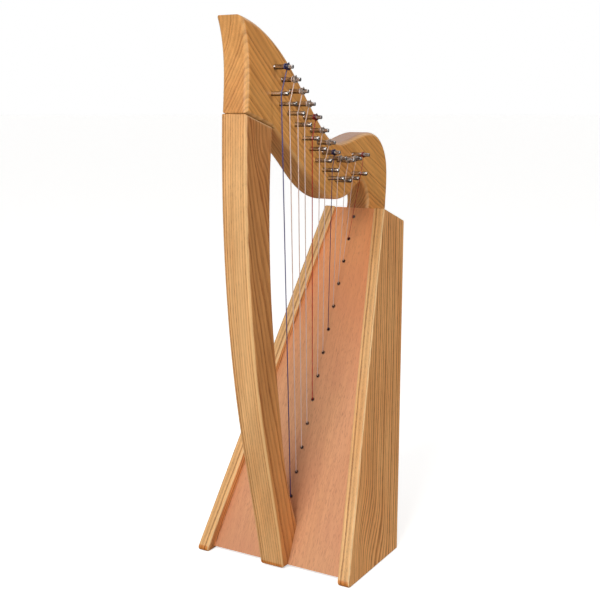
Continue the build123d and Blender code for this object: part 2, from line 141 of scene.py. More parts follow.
# ---- materials ---------------------------------------------------------------
# A noise's scale is per metre, and the colours are multiplied where a tone is given.
RANGE_SOCKETS = ("From Min", "From Max", "To Min", "To Max")


class Paint:
    """One material's nodes. Each method adds a node and returns its output."""

    def __init__(self, name):
        self.material = bpy.data.materials.new(name)
        self.material.use_nodes = True
        self.nodes = self.material.node_tree.nodes
        self.links = self.material.node_tree.links
        self.shader = self.nodes["Principled BSDF"]

    def feed(self, socket, value):
        if isinstance(value, bpy.types.NodeSocket):
            self.links.new(value, socket)
        else:
            socket.default_value = value

    def math(self, operation, *values, clamp=False):
        node = self.nodes.new("ShaderNodeMath")
        node.operation = operation
        node.use_clamp = clamp
        for socket, value in zip(node.inputs, values):
            self.feed(socket, value)
        return node.outputs[0]

    def vector(self, operation, *values):
        node = self.nodes.new("ShaderNodeVectorMath")
        node.operation = operation
        for socket, value in zip(node.inputs, values):
            self.feed(socket, value)
        scalar = operation in ("DOT_PRODUCT", "LENGTH", "DISTANCE")
        return node.outputs["Value" if scalar else "Vector"]

    def dot(self, vector, direction):
        return self.vector("DOT_PRODUCT", vector, direction)

    def place(self):
        """The point on the piece, in the row frame at rest."""
        return self.nodes.new("ShaderNodeTexCoord").outputs["Object"]

    def normal(self):
        return self.nodes.new("ShaderNodeNewGeometry").outputs["Normal"]

    def combine(self, x, y, z):
        node = self.nodes.new("ShaderNodeCombineXYZ")
        for socket, value in zip(node.inputs, (x, y, z)):
            self.feed(socket, value)
        return node.outputs[0]

    def noise(self, vector, scale, detail=2.0, roughness=0.5):
        node = self.nodes.new("ShaderNodeTexNoise")
        self.feed(node.inputs["Vector"], vector)
        self.feed(node.inputs["Scale"], scale)
        self.feed(node.inputs["Detail"], detail)
        self.feed(node.inputs["Roughness"], roughness)
        return node.outputs["Fac"]

    def noise_line(self, value, scale, detail=1.0):
        node = self.nodes.new("ShaderNodeTexNoise")
        node.noise_dimensions = "1D"
        self.feed(node.inputs["W"], value)
        self.feed(node.inputs["Scale"], scale)
        self.feed(node.inputs["Detail"], detail)
        return node.outputs["Fac"]

    def random_of(self, value):
        node = self.nodes.new("ShaderNodeTexWhiteNoise")
        node.noise_dimensions = "1D"
        self.feed(node.inputs["W"], value)
        return node.outputs["Value"]

    def ramp(self, factor, stops):
        """A smooth grey curve through (position, value) stops."""
        node = self.nodes.new("ShaderNodeValToRGB")
        node.color_ramp.interpolation = "EASE"
        elements = node.color_ramp.elements
        elements[1].position = stops[-1][0]
        for position, _ in stops[1:-1]:
            elements.new(position)
        for element, (position, value) in zip(elements, stops):
            element.position = position
            element.color = (value, value, value, 1)
        self.feed(node.inputs[0], factor)
        return node.outputs[0]

    def window(self, value, low, high, out_low=0.0, out_high=1.0, smooth=True):
        """0 below low and 1 above high, smoothly, or from out_low to out_high."""
        node = self.nodes.new("ShaderNodeMapRange")
        node.interpolation_type = "SMOOTHSTEP" if smooth else "LINEAR"
        for name, number in zip(RANGE_SOCKETS, (low, high, out_low, out_high)):
            node.inputs[name].default_value = number
        self.feed(node.inputs["Value"], value)
        return node.outputs[0]

    def linear(self, value, low, high, out_low, out_high):
        """A window with a straight slope."""
        return self.window(value, low, high, out_low, out_high, smooth=False)

    def mix(self, factor, a, b, blend="MIX"):
        node = self.nodes.new("ShaderNodeMix")
        node.data_type = "RGBA"
        node.blend_type = blend
        self.feed(node.inputs[0], factor)
        self.feed(node.inputs[6], a)
        self.feed(node.inputs[7], b)
        return node.outputs[2]

    def tint(self, factor, colour, tone):
        """The colour multiplied by a tone, as far as factor says."""
        return self.mix(factor, colour, (*tone, 1), "MULTIPLY")

    def bump(self, height, distance, strength=1.0):
        node = self.nodes.new("ShaderNodeBump")
        node.inputs["Distance"].default_value = distance
        node.inputs["Strength"].default_value = strength
        self.feed(node.inputs["Height"], height)
        self.feed(self.shader.inputs["Normal"], node.outputs[0])

    def set(self, **values):
        """Sets the shader's own sockets; spaces in their names are underscores."""
        for name, value in values.items():
            self.feed(self.shader.inputs[name.replace("_", " ")], value)


def rgb(red, green, blue):
    """A colour given as it looks on screen, from 0 to 255."""
    def linear(value):
        value /= 255
        return value / 12.92 if value <= 0.04045 else ((value + 0.055) / 1.055) ** 2.4
    return (linear(red), linear(green), linear(blue), 1.0)


class Timber(Paint):
    """Paint for sawn wood: it knows the way along the grain and across the growth layers."""

    def __init__(self, name, grain, across, sideways):
        super().__init__(name)
        self.grain = grain
        self.point = self.place()
        self.facing = self.normal()
        self.along = self.dot(self.point, grain)
        self.depth = self.dot(self.point, across)
        self.side = self.dot(self.point, sideways)

    def drawn_out(self, share):
        """The point for a noise that is stretched along the grain by one over share."""
        return self.combine(self.depth, self.side, self.math("MULTIPLY", self.along, share))

    def faces(self, direction):
        """How squarely the surface looks in a direction, from -1 to 1."""
        return self.dot(self.facing, direction)


PORE_COLOUR = rgb(96, 56, 26)
SEAM_COLOUR = rgb(62, 30, 14)
EARLY_WOOD = ((0.0, 0.55), (0.10, 1.0), (0.34, 0.72), (0.55, 0.16), (0.88, 0.0), (1.0, 0.55))
BLOTCH_TONE = (0.86, 0.70, 0.56)
END_GRAIN_TONE = (0.78, 0.66, 0.54)
FOOT_TONE = (0.82, 0.52, 0.25)
FOOT_HEIGHT = (6.2 * MM, 8.0 * MM)               # where the feet's darker part fades out
SOLE_HEIGHT = (0.5 * MM, 2.2 * MM)               # the same on the flat sides


def growth_layers(timber, ring, figure, bow, front, knots):
    """The number of growth layers up to a point: it is whole at the layers' borders."""
    # Slow wandering of the layers makes long flames on a face that lies nearly along
    # them, and only a slight waver on a face that cuts them.
    slow = timber.math("SUBTRACT", timber.noise(timber.drawn_out(0.11), 26.0, 1.5), 0.5)
    quick = timber.math("SUBTRACT", timber.noise(timber.drawn_out(0.16), 150.0, 2.0), 0.5)

    def wandering(depth, slow_reach, quick_reach):
        depth = timber.math("MULTIPLY_ADD", slow, slow_reach, depth)
        return timber.math("MULTIPLY_ADD", quick, quick_reach, depth)

    depth = wandering(timber.depth, 2 * figure, 0.45 * ring)
    for point, reach, lift in knots:
        from_knot = timber.vector("SUBTRACT", timber.point, point)
        from_knot = timber.vector("MULTIPLY", from_knot, (1, 1, 0.55))
        swell = timber.window(timber.vector("LENGTH", from_knot), 0.0, reach, lift, 0.0)
        depth = timber.math("ADD", depth, swell)
    if bow:
        bend_rate, straight_at = bow
        from_straight = timber.math("SUBTRACT", timber.along, straight_at)
        bent = timber.math("MULTIPLY", from_straight, from_straight)
        depth = timber.math("MULTIPLY_ADD", bent, bend_rate, depth)
    layers = timber.math("DIVIDE", depth, ring)
    if front:
        direction, front_across, front_ring = front
        front_depth = timber.dot(timber.point, Vector(front_across).normalized())
        front_depth = wandering(front_depth, 0.5 * front_ring, 0.35 * front_ring)
        on_front = timber.window(timber.faces(Vector(direction).normalized()), 0.66, 0.70)
        change = timber.math("SUBTRACT", timber.math("DIVIDE", front_depth, front_ring), layers)
        layers = timber.math("MULTIPLY_ADD", change, on_front, layers)
    uneven = timber.math("SUBTRACT", timber.noise_line(layers, 0.55), 0.5)
    return timber.math("MULTIPLY_ADD", uneven, 0.9, layers)


def oiled_and_painted_light(timber, colour, painted_side_light, painted_top_shade):
    """Oil-dark end grain, feet darkened near the floor, and painted light and shade on tops and flat
    sides.
    """
    on_end = timber.window(timber.math("ABSOLUTE", timber.faces(timber.grain)), 0.62, 0.96)
    colour = timber.tint(on_end, colour, END_GRAIN_TONE)
    on_side = timber.math("ABSOLUTE", timber.faces((0, 1, 0)))
    height = timber.dot(timber.point, (0, 0, 1))
    foot = timber.math("MULTIPLY", timber.window(height, *FOOT_HEIGHT, 0.95, 0.0),
                       timber.window(on_side, 0.7, 0.9, 1.0, 0.0))
    foot = timber.math("MAXIMUM", foot, timber.window(height, *SOLE_HEIGHT, 0.9, 0.0))
    colour = timber.tint(foot, colour, FOOT_TONE)
    # The tops are tinted darker here: painted shade.
    if painted_top_shade:
        colour = timber.tint(timber.window(timber.faces((0, 0, 1)), 0.55, 0.90), colour, painted_top_shade)
    # The flat sides are tinted here, lighter for some woods and darker for others: painted light and
    # shade.
    if painted_side_light:
        colour = timber.tint(timber.window(on_side, 0.80, 0.98), colour, painted_side_light)
    return colour


def worn_and_highlit_edges(timber, colour, edge, edge_colour):
    """Lightens the rounded edges between the flat sides and the rest, here and there: wear and a
    painted highlight.
    """
    sideways = timber.faces((0, 1, 0))
    squared = timber.math("MULTIPLY", sideways, sideways)
    rounding = timber.math("MULTIPLY", squared, timber.math("SUBTRACT", 1.0, squared))
    broken = timber.window(timber.noise(timber.drawn_out(0.3), 90.0, 3.0), 0.25, 0.6, 0.55, 1.0)
    worn = timber.math("MULTIPLY", timber.window(rounding, 0.04, 0.20), broken)
    return timber.mix(timber.math("MULTIPLY", worn, edge), colour, edge_colour)


def seamed(timber, colour, point, seam_normal, half, reach):
    """Draws a glue joint as a thin dark line."""
    from_seam = timber.vector("SUBTRACT", timber.point, point)
    off = timber.math("ABSOLUTE", timber.dot(from_seam, seam_normal))
    near = timber.window(timber.vector("LENGTH", from_seam), reach, reach * 1.1, 1.0, 0.0)
    line = timber.math("MULTIPLY", timber.window(off, 0.0, half, 0.85, 0.0), near)
    return timber.mix(line, colour, SEAM_COLOUR)


def wood(name, grain, across, ring, light, dark, figure=3.0 * MM, contrast=1.0, red=0.5, pores=0.6,
         bow=None, front=None, knots=(), painted_side_light=None, painted_top_shade=None, edge=0.0,
         edge_colour=rgb(238, 196, 136), seams=()):
    """Sawn wood with growth layers: grain runs along them and across is square to them.

    ring is how thick a layer is and figure how far the layers wander. bow is how fast
    they bend along the grain, and where they are straight. front is (direction, across,
    ring) of the layers on the faces that look that way, and knots are (point, reach,
    lift) of swells in the layers. edge is how much lighter the rounded edges are, as wear
    and a painted highlight. The tones for the flat sides and the tops are painted light
    and shade.
    seams are (point, normal, half width, reach) of the glue joints."""
    grain, across = Vector(grain).normalized(), Vector(across).normalized()
    timber = Timber(name, grain, across, grain.cross(across).normalized())
    layers = growth_layers(timber, ring, figure, bow, front, knots)

    # Each layer starts with a dark band of open pores and ends dense and pale.
    early = timber.ramp(timber.math("FRACT", layers), EARLY_WOOD)
    layer_tone = timber.random_of(timber.math("FLOOR", layers))
    early = timber.math("MULTIPLY", early, timber.linear(layer_tone, 0, 1, 0.35 * contrast, contrast))
    open_pores = timber.window(timber.noise(timber.drawn_out(0.045), 2300.0, 1.0), 0.56, 0.68)
    dashes = timber.math("MULTIPLY", open_pores, timber.math("ADD", early, 0.12), clamp=True)
    fibre = timber.noise(timber.drawn_out(0.022), 900.0, 3.0, 0.6)
    streak = timber.noise(timber.drawn_out(0.022), 160.0, 2.0, 0.55)

    colour = timber.mix(early, light, dark)
    colour = timber.mix(timber.math("MULTIPLY", dashes, pores), colour, PORE_COLOUR)
    shade = timber.math("ADD", timber.linear(fibre, 0.2, 0.8, 0.87, 1.11),
                        timber.linear(streak, 0.25, 0.75, -0.11, 0.11))
    colour = timber.mix(1.0, colour, timber.combine(shade, shade, shade), "MULTIPLY")
    blotch = timber.window(timber.noise(timber.drawn_out(0.3), 24.0, 2.0), 0.38, 0.72)
    colour = timber.tint(timber.math("MULTIPLY", blotch, red), colour, BLOTCH_TONE)
    colour = oiled_and_painted_light(timber, colour, painted_side_light, painted_top_shade)
    # The rounded edges are lightened: wear and a painted highlight.
    if edge:
        colour = worn_and_highlit_edges(timber, colour, edge, edge_colour)
    for seam in seams:
        colour = seamed(timber, colour, *seam)

    rough = timber.math("MULTIPLY_ADD", dashes, 0.22, 0.40)
    rough = timber.math("ADD", rough, timber.linear(streak, 0.2, 0.8, -0.05, 0.06))
    height = timber.math("MULTIPLY_ADD", early, -0.25, timber.math("MULTIPLY", fibre, 0.35))
    height = timber.math("MULTIPLY_ADD", dashes, -0.8, height)
    timber.bump(height, 0.12 * MM, 0.55)
    timber.set(Base_Color=colour, Roughness=rough, Coat_Weight=0.15, Coat_Roughness=0.28,
               Specular_IOR_Level=0.38)
    return timber.material


def soundboard_wood(name):
    """Smooth pinkish board with short fine pores, a dark brown ring round each string hole and painted
    shade in the holes.
    """
    board = Timber(name, BOARD_UP, BOARD_OUT, (0, 1, 0))
    lines = board.noise(board.drawn_out(0.03), 420.0, 2.0)
    cloth = board.noise(board.drawn_out(0.10), 1500.0, 2.0)
    ribbon = board.noise(board.drawn_out(0.12), 48.0, 2.0)
    cloud = board.noise(board.point, 9.0, 2.0)
    colour = board.mix(board.window(lines, 0.3, 0.7, 0.0, 0.6), rgb(222, 162, 118), rgb(204, 142, 102))
    colour = board.mix(board.window(cloth, 0.54, 0.68, 0.0, 0.6), colour, rgb(160, 100, 66))
    colour = board.mix(board.window(ribbon, 0.3, 0.7, 0.0, 0.2), colour, rgb(216, 160, 108))
    colour = board.mix(board.window(cloud, 0.35, 0.7, 0.0, 0.5), colour, rgb(206, 136, 104))
    # The board is tinted lighter and yellower towards its top: painted light against the shade there.
    painted_light_near_top = board.window(board.along, HOLES[3].dot(BOARD_UP), HOLES[-1].dot(BOARD_UP), 0.0, 0.75)
    colour = board.tint(painted_light_near_top, colour, (1.28, 1.04, 0.70))

    first = HOLES[0].dot(BOARD_UP)
    step = (HOLES[-1].dot(BOARD_UP) - first) / (STRINGS - 1)
    from_first = board.math("SUBTRACT", board.along, first)
    from_nearest = board.math("WRAP", from_first, step / 2, -step / 2)
    from_hole = board.vector("LENGTH", board.combine(from_nearest, board.side, 0))
    rim = board.window(from_hole, HOLE_R, HOLE_R + 1.3 * MM, 0.8, 0.0)
    colour = board.mix(rim, colour, rgb(88, 46, 24))
    # Inside each string hole and on its edge the board is nearly black: painted shade.
    inside = board.window(from_hole, HOLE_R, HOLE_R + 0.3 * MM, 1.0, 0.0)
    colour = board.mix(inside, colour, rgb(34, 18, 10))

    height = board.math("MULTIPLY_ADD", lines, 0.4, board.math("MULTIPLY", cloth, -0.6))
    board.bump(height, 0.06 * MM, 0.5)
    board.set(Base_Color=colour, Roughness=board.linear(cloth, 0.3, 0.75, 0.42, 0.56), Coat_Weight=0.15,
              Coat_Roughness=0.3, Specular_IOR_Level=0.4)
    return board.material


def metal(name, colour, worn, roughness):
    """Turned metal: fine rings along y, mottling in streaks, and painted dark reflections on top and
    underneath.
    """
    paint = Paint(name)
    place = paint.place()
    rings = paint.noise_line(paint.dot(place, (0, 1, 0)), 5200.0, 2.0)
    spots = paint.noise(place, 900.0, 3.0)
    smear = paint.noise(paint.vector("MULTIPLY", place, (1, 0.25, 1)), 420.0, 2.0)
    tone = paint.mix(paint.window(smear, 0.42, 0.70), colour, worn)
    tone = paint.mix(paint.window(spots, 0.60, 0.74, 0.0, 0.5), tone, worn)
    # The tops and undersides are darkened here: painted reflection of a dark sky and floor.
    upward = paint.dot(paint.normal(), (0, 0, 1))
    painted_dark_underside = paint.window(upward, -0.70, -0.20, 0.9, 0.0)
    painted_dark_top = paint.window(upward, 0.76, 0.93, 0.0, 0.85)
    tone = paint.tint(paint.math("MAXIMUM", painted_dark_underside, painted_dark_top), tone, (0.10, 0.09, 0.085))
    rough = paint.math("ADD", paint.linear(rings, 0.3, 0.7, roughness, roughness + 0.10),
                       paint.linear(spots, 0.4, 0.7, 0.0, 0.10))
    paint.bump(paint.math("MULTIPLY_ADD", spots, 0.5, rings), 0.012 * MM, 0.6)
    paint.set(Base_Color=tone, Metallic=1.0, Roughness=rough)
    return paint.material


def nylon(name, colour, deep):
    """Drawn nylon: slight changes of tone along the string, a soft gloss and fine drag marks."""
    paint = Paint(name)
    place = paint.place()
    stretch = paint.noise(paint.vector("MULTIPLY", place, (1, 1, 0.08)), 520.0, 2.0)
    drag = paint.noise(paint.vector("MULTIPLY", place, (1, 1, 0.02)), 3800.0, 1.0)
    tone = paint.mix(paint.window(stretch, 0.35, 0.7, 0.0, 0.6), colour, deep)
    # The string is darkened inside the soundboard's hole and just outside it: painted shade of the
    # hole.
    off_board = paint.math("SUBTRACT", paint.dot(place, BOARD_OUT), HOLES[0].dot(BOARD_OUT))
    tone = paint.mix(paint.window(off_board, 0.0, 2.2 * MM, 0.9, 0.0), tone, rgb(52, 32, 22))
    paint.bump(drag, 0.01 * MM, 0.5)
    rough = paint.linear(stretch, 0.3, 0.7, 0.22, 0.34)
    paint.set(Base_Color=tone, Roughness=rough, Coat_Weight=0.3, Coat_Roughness=0.12,
              Subsurface_Weight=0.15, Subsurface_Radius=(0.6, 0.4, 0.35), Subsurface_Scale=0.6 * MM)
    return paint.material


# ---- the woods, metals and strings --------------------------------------------
JOINT_FRONT = Vector((-155.2, 0, 497.6)) * MM    # the pillar's top, front and back
JOINT_BACK = Vector((-106.5, 0, 483.9)) * MM
JOINT_ALONG = (JOINT_BACK - JOINT_FRONT).normalized()
JOINT_UP = Vector((-JOINT_ALONG.z, 0, JOINT_ALONG.x))
JOINT_MIDDLE = (JOINT_FRONT + JOINT_BACK) / 2
LEG_MIDDLE = Vector((132.7, 0, 374.6)) * MM      # where the neck's leg meets the soundbox
LEG_UP = Vector((19.2, 0, 51.3)).normalized()
JOINT_REACH = 31 * MM
PILLAR_KNOT = Vector((-129, -15, 466)) * MM
PANEL_UP = 0.3425                                # how far the panels' middles lean back, dx/dz
PANEL_SLOPE = 0.1526                             # how far the panels lean in, dy/dz
PANEL_KNOT_X, PANEL_KNOT_Y, PANEL_KNOT_Z = -50 * MM, 98 * MM, 10 * MM

pillar_wood = wood(
    "ash_pillar", grain=(0.085, 0, -1), across=(0.50, 1, 0.13), ring=3.0 * MM,
    light=rgb(240, 191, 132), dark=rgb(190, 127, 67), figure=5.0 * MM,
    front=((-1, 0, 0), (0.02, 1, 0), 3.0 * MM), knots=((PILLAR_KNOT, 22 * MM, 4 * MM),),
    # The flat sides are tinted darker and redder: painted shade.
    painted_side_light=(0.78, 0.58, 0.40), edge=0.5, seams=((JOINT_MIDDLE, JOINT_UP, 0.5 * MM, JOINT_REACH),),
)
neck_wood = wood(
    "ash_neck", grain=(0.77, 0, -0.64), across=(0.367, 0.818, 0.442), ring=3.2 * MM,
    light=rgb(236, 178, 110), dark=rgb(182, 116, 56), figure=1.9 * MM, contrast=0.80,
    # The flat sides are tinted more orange and the tops darker: painted light and shade.
    bow=(-0.24, -0.465), painted_side_light=(1.10, 0.99, 0.73), painted_top_shade=(0.66, 0.52, 0.44), edge=0.25,
    seams=(
        (JOINT_MIDDLE, JOINT_UP, 0.6 * MM, JOINT_REACH),
        (LEG_MIDDLE, LEG_UP, 0.7 * MM, JOINT_REACH),
    ),
)


def panel_wood(name, side):
    """side is -1 for the left panel and +1 for the right one."""
    knot = Vector((PANEL_KNOT_X, side * PANEL_KNOT_Y, PANEL_KNOT_Z))
    return wood(
        name, grain=(PANEL_UP, -side * PANEL_SLOPE, 1), across=(0.45, -side * 0.893, -0.290),
        ring=2.2 * MM, light=rgb(236, 186, 124), dark=rgb(178, 124, 68), figure=2.0 * MM,
        contrast=1.25, pores=0.8, front=((-0.893, 0, 0.451), (0, side, PANEL_SLOPE), 4.6 * MM),
        # The flat sides are tinted lighter: painted light.
        knots=((knot, 60 * MM, 9 * MM),), painted_side_light=(1.22, 1.09, 1.01), edge=0.6,
        edge_colour=rgb(248, 216, 160),
    )


left_panel_wood = panel_wood("ash_panel_left", -1)
right_panel_wood = panel_wood("ash_panel_right", 1)
inner_wood = wood(
    "ash_inner", grain=(0.3, 0, 1), across=(0.2, 1, 0.1), ring=3.2 * MM,
    light=rgb(228, 184, 130), dark=rgb(196, 144, 92),
)
cross_wood = wood(
    "ash_cross", grain=(0, 1, 0), across=(0.6, 0, 0.8), ring=3.0 * MM,
    light=rgb(226, 176, 118), dark=rgb(192, 136, 82), figure=2.5 * MM,
)
back_wood = wood(
    "ash_back", grain=(PANEL_UP, 0, 1), across=(0.95, 0.30, -0.325), ring=4.0 * MM,
    light=rgb(230, 182, 124), dark=rgb(196, 140, 86), figure=7.0 * MM, contrast=0.9, red=0.4,
)
dowel_wood = wood(
    "beech_dowel", grain=(0, 0, 1), across=(1, 0, 0), ring=1.6 * MM,
    light=rgb(222, 176, 130), dark=rgb(200, 150, 104), figure=1.0 * MM,
)
board_wood = soundboard_wood("soundboard_wood")
screw_steel = metal("screw_steel", rgb(176, 172, 160), rgb(120, 112, 96), 0.32)
nickel = metal("pin_nickel", rgb(222, 219, 216), rgb(148, 142, 136), 0.18)
steel = metal("tuner_steel", rgb(206, 203, 203), rgb(118, 112, 110), 0.20)
NYLON = {
    "string_natural": nylon("string_natural", rgb(240, 218, 208), rgb(216, 184, 170)),
    "string_blue": nylon("string_blue", rgb(88, 88, 142), rgb(56, 54, 100)),
    "string_red": nylon("string_red", rgb(196, 34, 34), rgb(130, 18, 20)),
}
# The turns on the tuning pins use darker copies of the string colours: painted shade of the turns on
# the dark metal.
SHADED_WOUND_NYLON = {
    "string_natural": nylon("wound_natural_shaded", rgb(176, 156, 140), rgb(120, 98, 84)),
    "string_blue": nylon("wound_blue_shaded", rgb(30, 28, 70), rgb(14, 12, 32)),
    "string_red": nylon("wound_red_shaded", rgb(120, 14, 18), rgb(60, 8, 10)),
}
NAVY_STRING = 7                                  # the eighth string is darker than the first
NAVY = nylon("string_navy", rgb(60, 46, 112), rgb(34, 26, 72))


def paint_node(node, material):
    """Gives a CAD node its material; its mesh stays as it is."""
    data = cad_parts[node].data
    data.materials.clear()
    data.materials.append(material)


for node, material in {
    "pillar": pillar_wood,
    "neck": neck_wood,
    "side_panel_left": left_panel_wood,
    "side_panel_right": right_panel_wood,
    "soundboard": board_wood,
    "back_panel": back_wood,
    "base_board": cross_wood,
    "top_block": cross_wood,
    "string_rib": inner_wood,
    "lining_left": inner_wood,
    "lining_right": inner_wood,
    "neck_dowels": dowel_wood,
    "neck_screws": screw_steel,
    "pillar_screws": screw_steel,
}.items():
    paint_node(node, material)


# ---- mesh helpers ------------------------------------------------------------
DOME_ANGLES = (35, 60, 80)          # the rings of a tube's rounded end, in degrees
SHARP_ANGLE = math.radians(32)


def make_piece(name, points, faces, material, slot, body, *replaced):
    """A finished piece from points in the row frame."""
    mesh = bpy.data.meshes.new(name)
    mesh.from_pydata([tuple(point) for point in points], [], faces)
    mesh.validate()
    finish_piece(name, mesh, material, slot, body, *replaced)


def finish_piece(name, mesh, material, slot, body, *replaced):
    """A piece that rides on a body and stands for the replaced CAD nodes."""
    mesh.shade_smooth()
    mesh.set_sharp_from_angle(angle=SHARP_ANGLE)
    mesh.materials.clear()
    mesh.materials.append(material)
    piece = bpy.data.objects.new(name, mesh)
    bpy.context.scene.collection.objects.link(piece)
    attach(piece, body)
    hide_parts(*replaced)


def skin(stations, sides, clockwise=False):
    """Faces that look outward from rings of points that go round anticlockwise, or clockwise."""
    faces = []
    for low in range(0, (stations - 1) * sides, sides):
        for side in range(sides):
            beside = (side + 1) % sides
            faces.append((low + side, low + beside, low + sides + beside, low + sides + side))
    last = (stations - 1) * sides
    faces += [tuple(reversed(range(sides))), tuple(range(last, last + sides))]
    return [(face[0], *reversed(face[1:])) for face in faces] if clockwise else faces


def tube(path, radius, sides=14):
    """Points and faces of a round tube with domed ends along a path of points.

    radius is one number or one for each point of the path."""
    radii = [radius] * len(path) if isinstance(radius, float) else list(radius)
    tangents = []
    for index in range(len(path)):
        before, after = path[max(index - 1, 0)], path[min(index + 1, len(path) - 1)]
        tangents.append((after - before).normalized())
    stations = list(zip(path, tangents, radii))
    first, last = stations[0], stations[-1]
    for angle in DOME_ANGLES:
        out, across = math.sin(math.radians(angle)), math.cos(math.radians(angle))
        point, tangent, size = first
        stations.insert(0, (point - tangent * size * out, tangent, size * across))
        point, tangent, size = last
        stations.append((point + tangent * size * out, tangent, size * across))
    points, before = [], tangents[0]
    normal = before.orthogonal().normalized()
    for centre, tangent, size in stations:
        normal = before.rotation_difference(tangent) @ normal
        normal = (normal - tangent * normal.dot(tangent)).normalized()
        before = tangent
        other = tangent.cross(normal)
        for side in range(sides):
            turn = 2 * math.pi * side / sides
            points.append(centre + (normal * math.cos(turn) + other * math.sin(turn)) * size)
    return points, skin(len(stations), sides)


def turned(rings, sides=64):
    """Points and faces of a solid about the y axis from (y, radius as a function of the angle)."""
    points = []
    for y, radius_at in rings:
        for side in range(sides):
            angle = 2 * math.pi * side / sides
            radius = radius_at(angle)
            points.append(Vector((radius * math.cos(angle), y, radius * math.sin(angle))))
    return points, skin(len(rings), sides, clockwise=True)


def arc(centre, radius, start, end, steps, y):
    """Points of an arc round the y axis, from angle start to angle end."""
    points = []
    for step in range(steps + 1):
        angle = start + (end - start) * step / steps
        across, up = radius * math.cos(angle), radius * math.sin(angle)
        points.append(Vector((centre.x + across, y, centre.z + up)))
    return points


# ---- strings -----------------------------------------------------------------
MOUTH_OUT = 1.2 * MM                # where a string bends as it leaves the soundboard
WRAP_STEPS = 40
STRING_TAPER = (0.97, 0.9, 0.78, 0.6)            # at its end on the tuning pin
COIL_STEPS = 26                     # in one turn
COIL_FLAT_TURN = 0.35               # the first part turn that lies flat against its neighbour
COIL_SNUG = 0.02 * MM
KNOT_STEPS = 96
KNOT_TAIL = 0.2 * MM


def bend(before, point, after, radius, steps):
    """Points of the tangent arc that rounds a corner."""
    into, out = (point - before).normalized(), (after - point).normalized()
    half_turn = into.angle(out) / 2
    if half_turn < 1e-4:
        return [point]
    start = point - into * radius * math.tan(half_turn)
    inward = (out - into).normalized()
    centre = point + inward * radius / math.cos(half_turn)
    axis = into.cross(out).normalized()
    arm = start - centre
    turns = [Matrix.Rotation(2 * half_turn * step / steps, 3, axis) for step in range(steps + 1)]
    return [centre + turn @ arm for turn in turns]


def string_turn(number):
    """The string's touch angle on its tuning pin, and the path from the knot to there."""
    radius = string_diameter(number) / 2
    bridge, tuner = middle_of(BRIDGE_PINS[number]), middle_of(TUNING_PINS[number])
    bridge_r = BRIDGE_GROOVE_R + radius + STRING_GAP
    tuner_r = TUNING_PIN_R + radius + STRING_GAP

    # The line that touches both pins, on opposite sides of them.
    dx, dz = tuner.x - bridge.x, tuner.z - bridge.z
    touch = math.atan2(dz, dx) - math.acos(-(bridge_r + tuner_r) / math.hypot(dx, dz))
    arm = Vector((math.cos(touch), 0, math.sin(touch)))
    leave = Vector((bridge.x, STRING_Y, bridge.z)) - arm * bridge_r
    reach = Vector((tuner.x, STRING_Y, tuner.z)) + arm * tuner_r

    # The line from the soundboard's hole that touches the bridge pin, and where they cross.
    knot = HOLES[number] - BOARD_OUT * (BOARD_THICK + RIB_THICK + BEAD_R)
    mouth = HOLES[number] + BOARD_OUT * MOUTH_OUT
    dx, dz = bridge.x - mouth.x, bridge.z - mouth.z
    rise = math.atan2(dz, dx) + math.asin(bridge_r / math.hypot(dx, dz))
    ux, uz = math.cos(rise), math.sin(rise)
    vx, vz = reach.x - leave.x, reach.z - leave.z
    length = ((leave.x - mouth.x) * vz - (leave.z - mouth.z) * vx) / (ux * vz - uz * vx)
    corner = Vector((mouth.x + length * ux, STRING_Y, mouth.z + length * uz))
    at_hole = bend(knot, mouth, corner, HOLE_BEND_R, 8)
    at_bridge = bend(mouth, corner, reach, bridge_r, 10)
    return touch, tuner, tuner_r, [knot, *at_hole, *at_bridge]


def add_string(number):
    """The speaking string and its first part turn on the tuning pin, which stay still."""
    slot = string_slot(number)
    radius = string_diameter(number) / 2
    touch, tuner, tuner_r, path = string_turn(number)
    path += arc(tuner, tuner_r, touch, touch + STRING_WRAP, WRAP_STEPS, STRING_Y)
    radii = [radius] * (len(path) - len(STRING_TAPER)) + [radius * share for share in STRING_TAPER]
    name = f"string_{number + 1:02d}"
    material = NAVY if number == NAVY_STRING else NYLON[slot]
    make_piece(name + "_nylon", *tube(path, radii), material, slot, "frame", name)


def add_coil(number):
    """The turns of string that go round with the tuning pin, and the tail through its hole."""
    slot = string_slot(number)
    thick = string_diameter(number)
    touch, tuner, _, _ = string_turn(number)
    radius = TUNING_PIN_R + thick / 2 + COIL_SNUG
    first_y = STRING_Y - thick - STRING_GAP
    start = touch + STRING_WRAP
    steps = COIL_STEPS * COIL_TURNS
    path, radii = [], []
    for step in range(steps + 1):
        turns = COIL_TURNS * step / steps
        climb = max(0.0, (turns - COIL_FLAT_TURN) / (COIL_TURNS - COIL_FLAT_TURN))
        y = first_y - (COIL_TURNS - 1) * thick * climb
        angle = start + 2 * math.pi * turns
        arm = Vector((math.cos(angle), 0, math.sin(angle)))
        path.append(Vector((tuner.x, y, tuner.z)) + arm * radius)
        radii.append(thick / 2 * min(1.0, 0.55 + 0.15 * step))
    tangent = Vector((-arm.z, 0, arm.x))
    mouth_arm = (arm * 0.45 + tangent * 0.9).normalized()
    hole_y = path[-1].y - 0.75 * thick
    # The tail turns from the last turn's direction into the hole, a share at a time.
    for share, out in (
        (0.45, radius + 0.10 * MM),
        (1.0, TUNING_PIN_R + 0.35 * MM),
        (1.0, 1.4 * MM),
        (1.0, -TUNING_PIN_R - 1.6 * MM),
    ):
        y = path[-1].y + (hole_y - path[-1].y) * share
        way = (arm * (1 - share) + mouth_arm * share).normalized()
        path.append(Vector((tuner.x, y, tuner.z)) + way * out)
        radii.append(thick / 2)
    name, body = f"string_winding_{number + 1:02d}", f"tuner_{number + 1:02d}"
    make_piece(name + "_coil", *tube(path, radii, 12), SHADED_WOUND_NYLON[slot], slot, body, name)
    return mouth_arm, hole_y


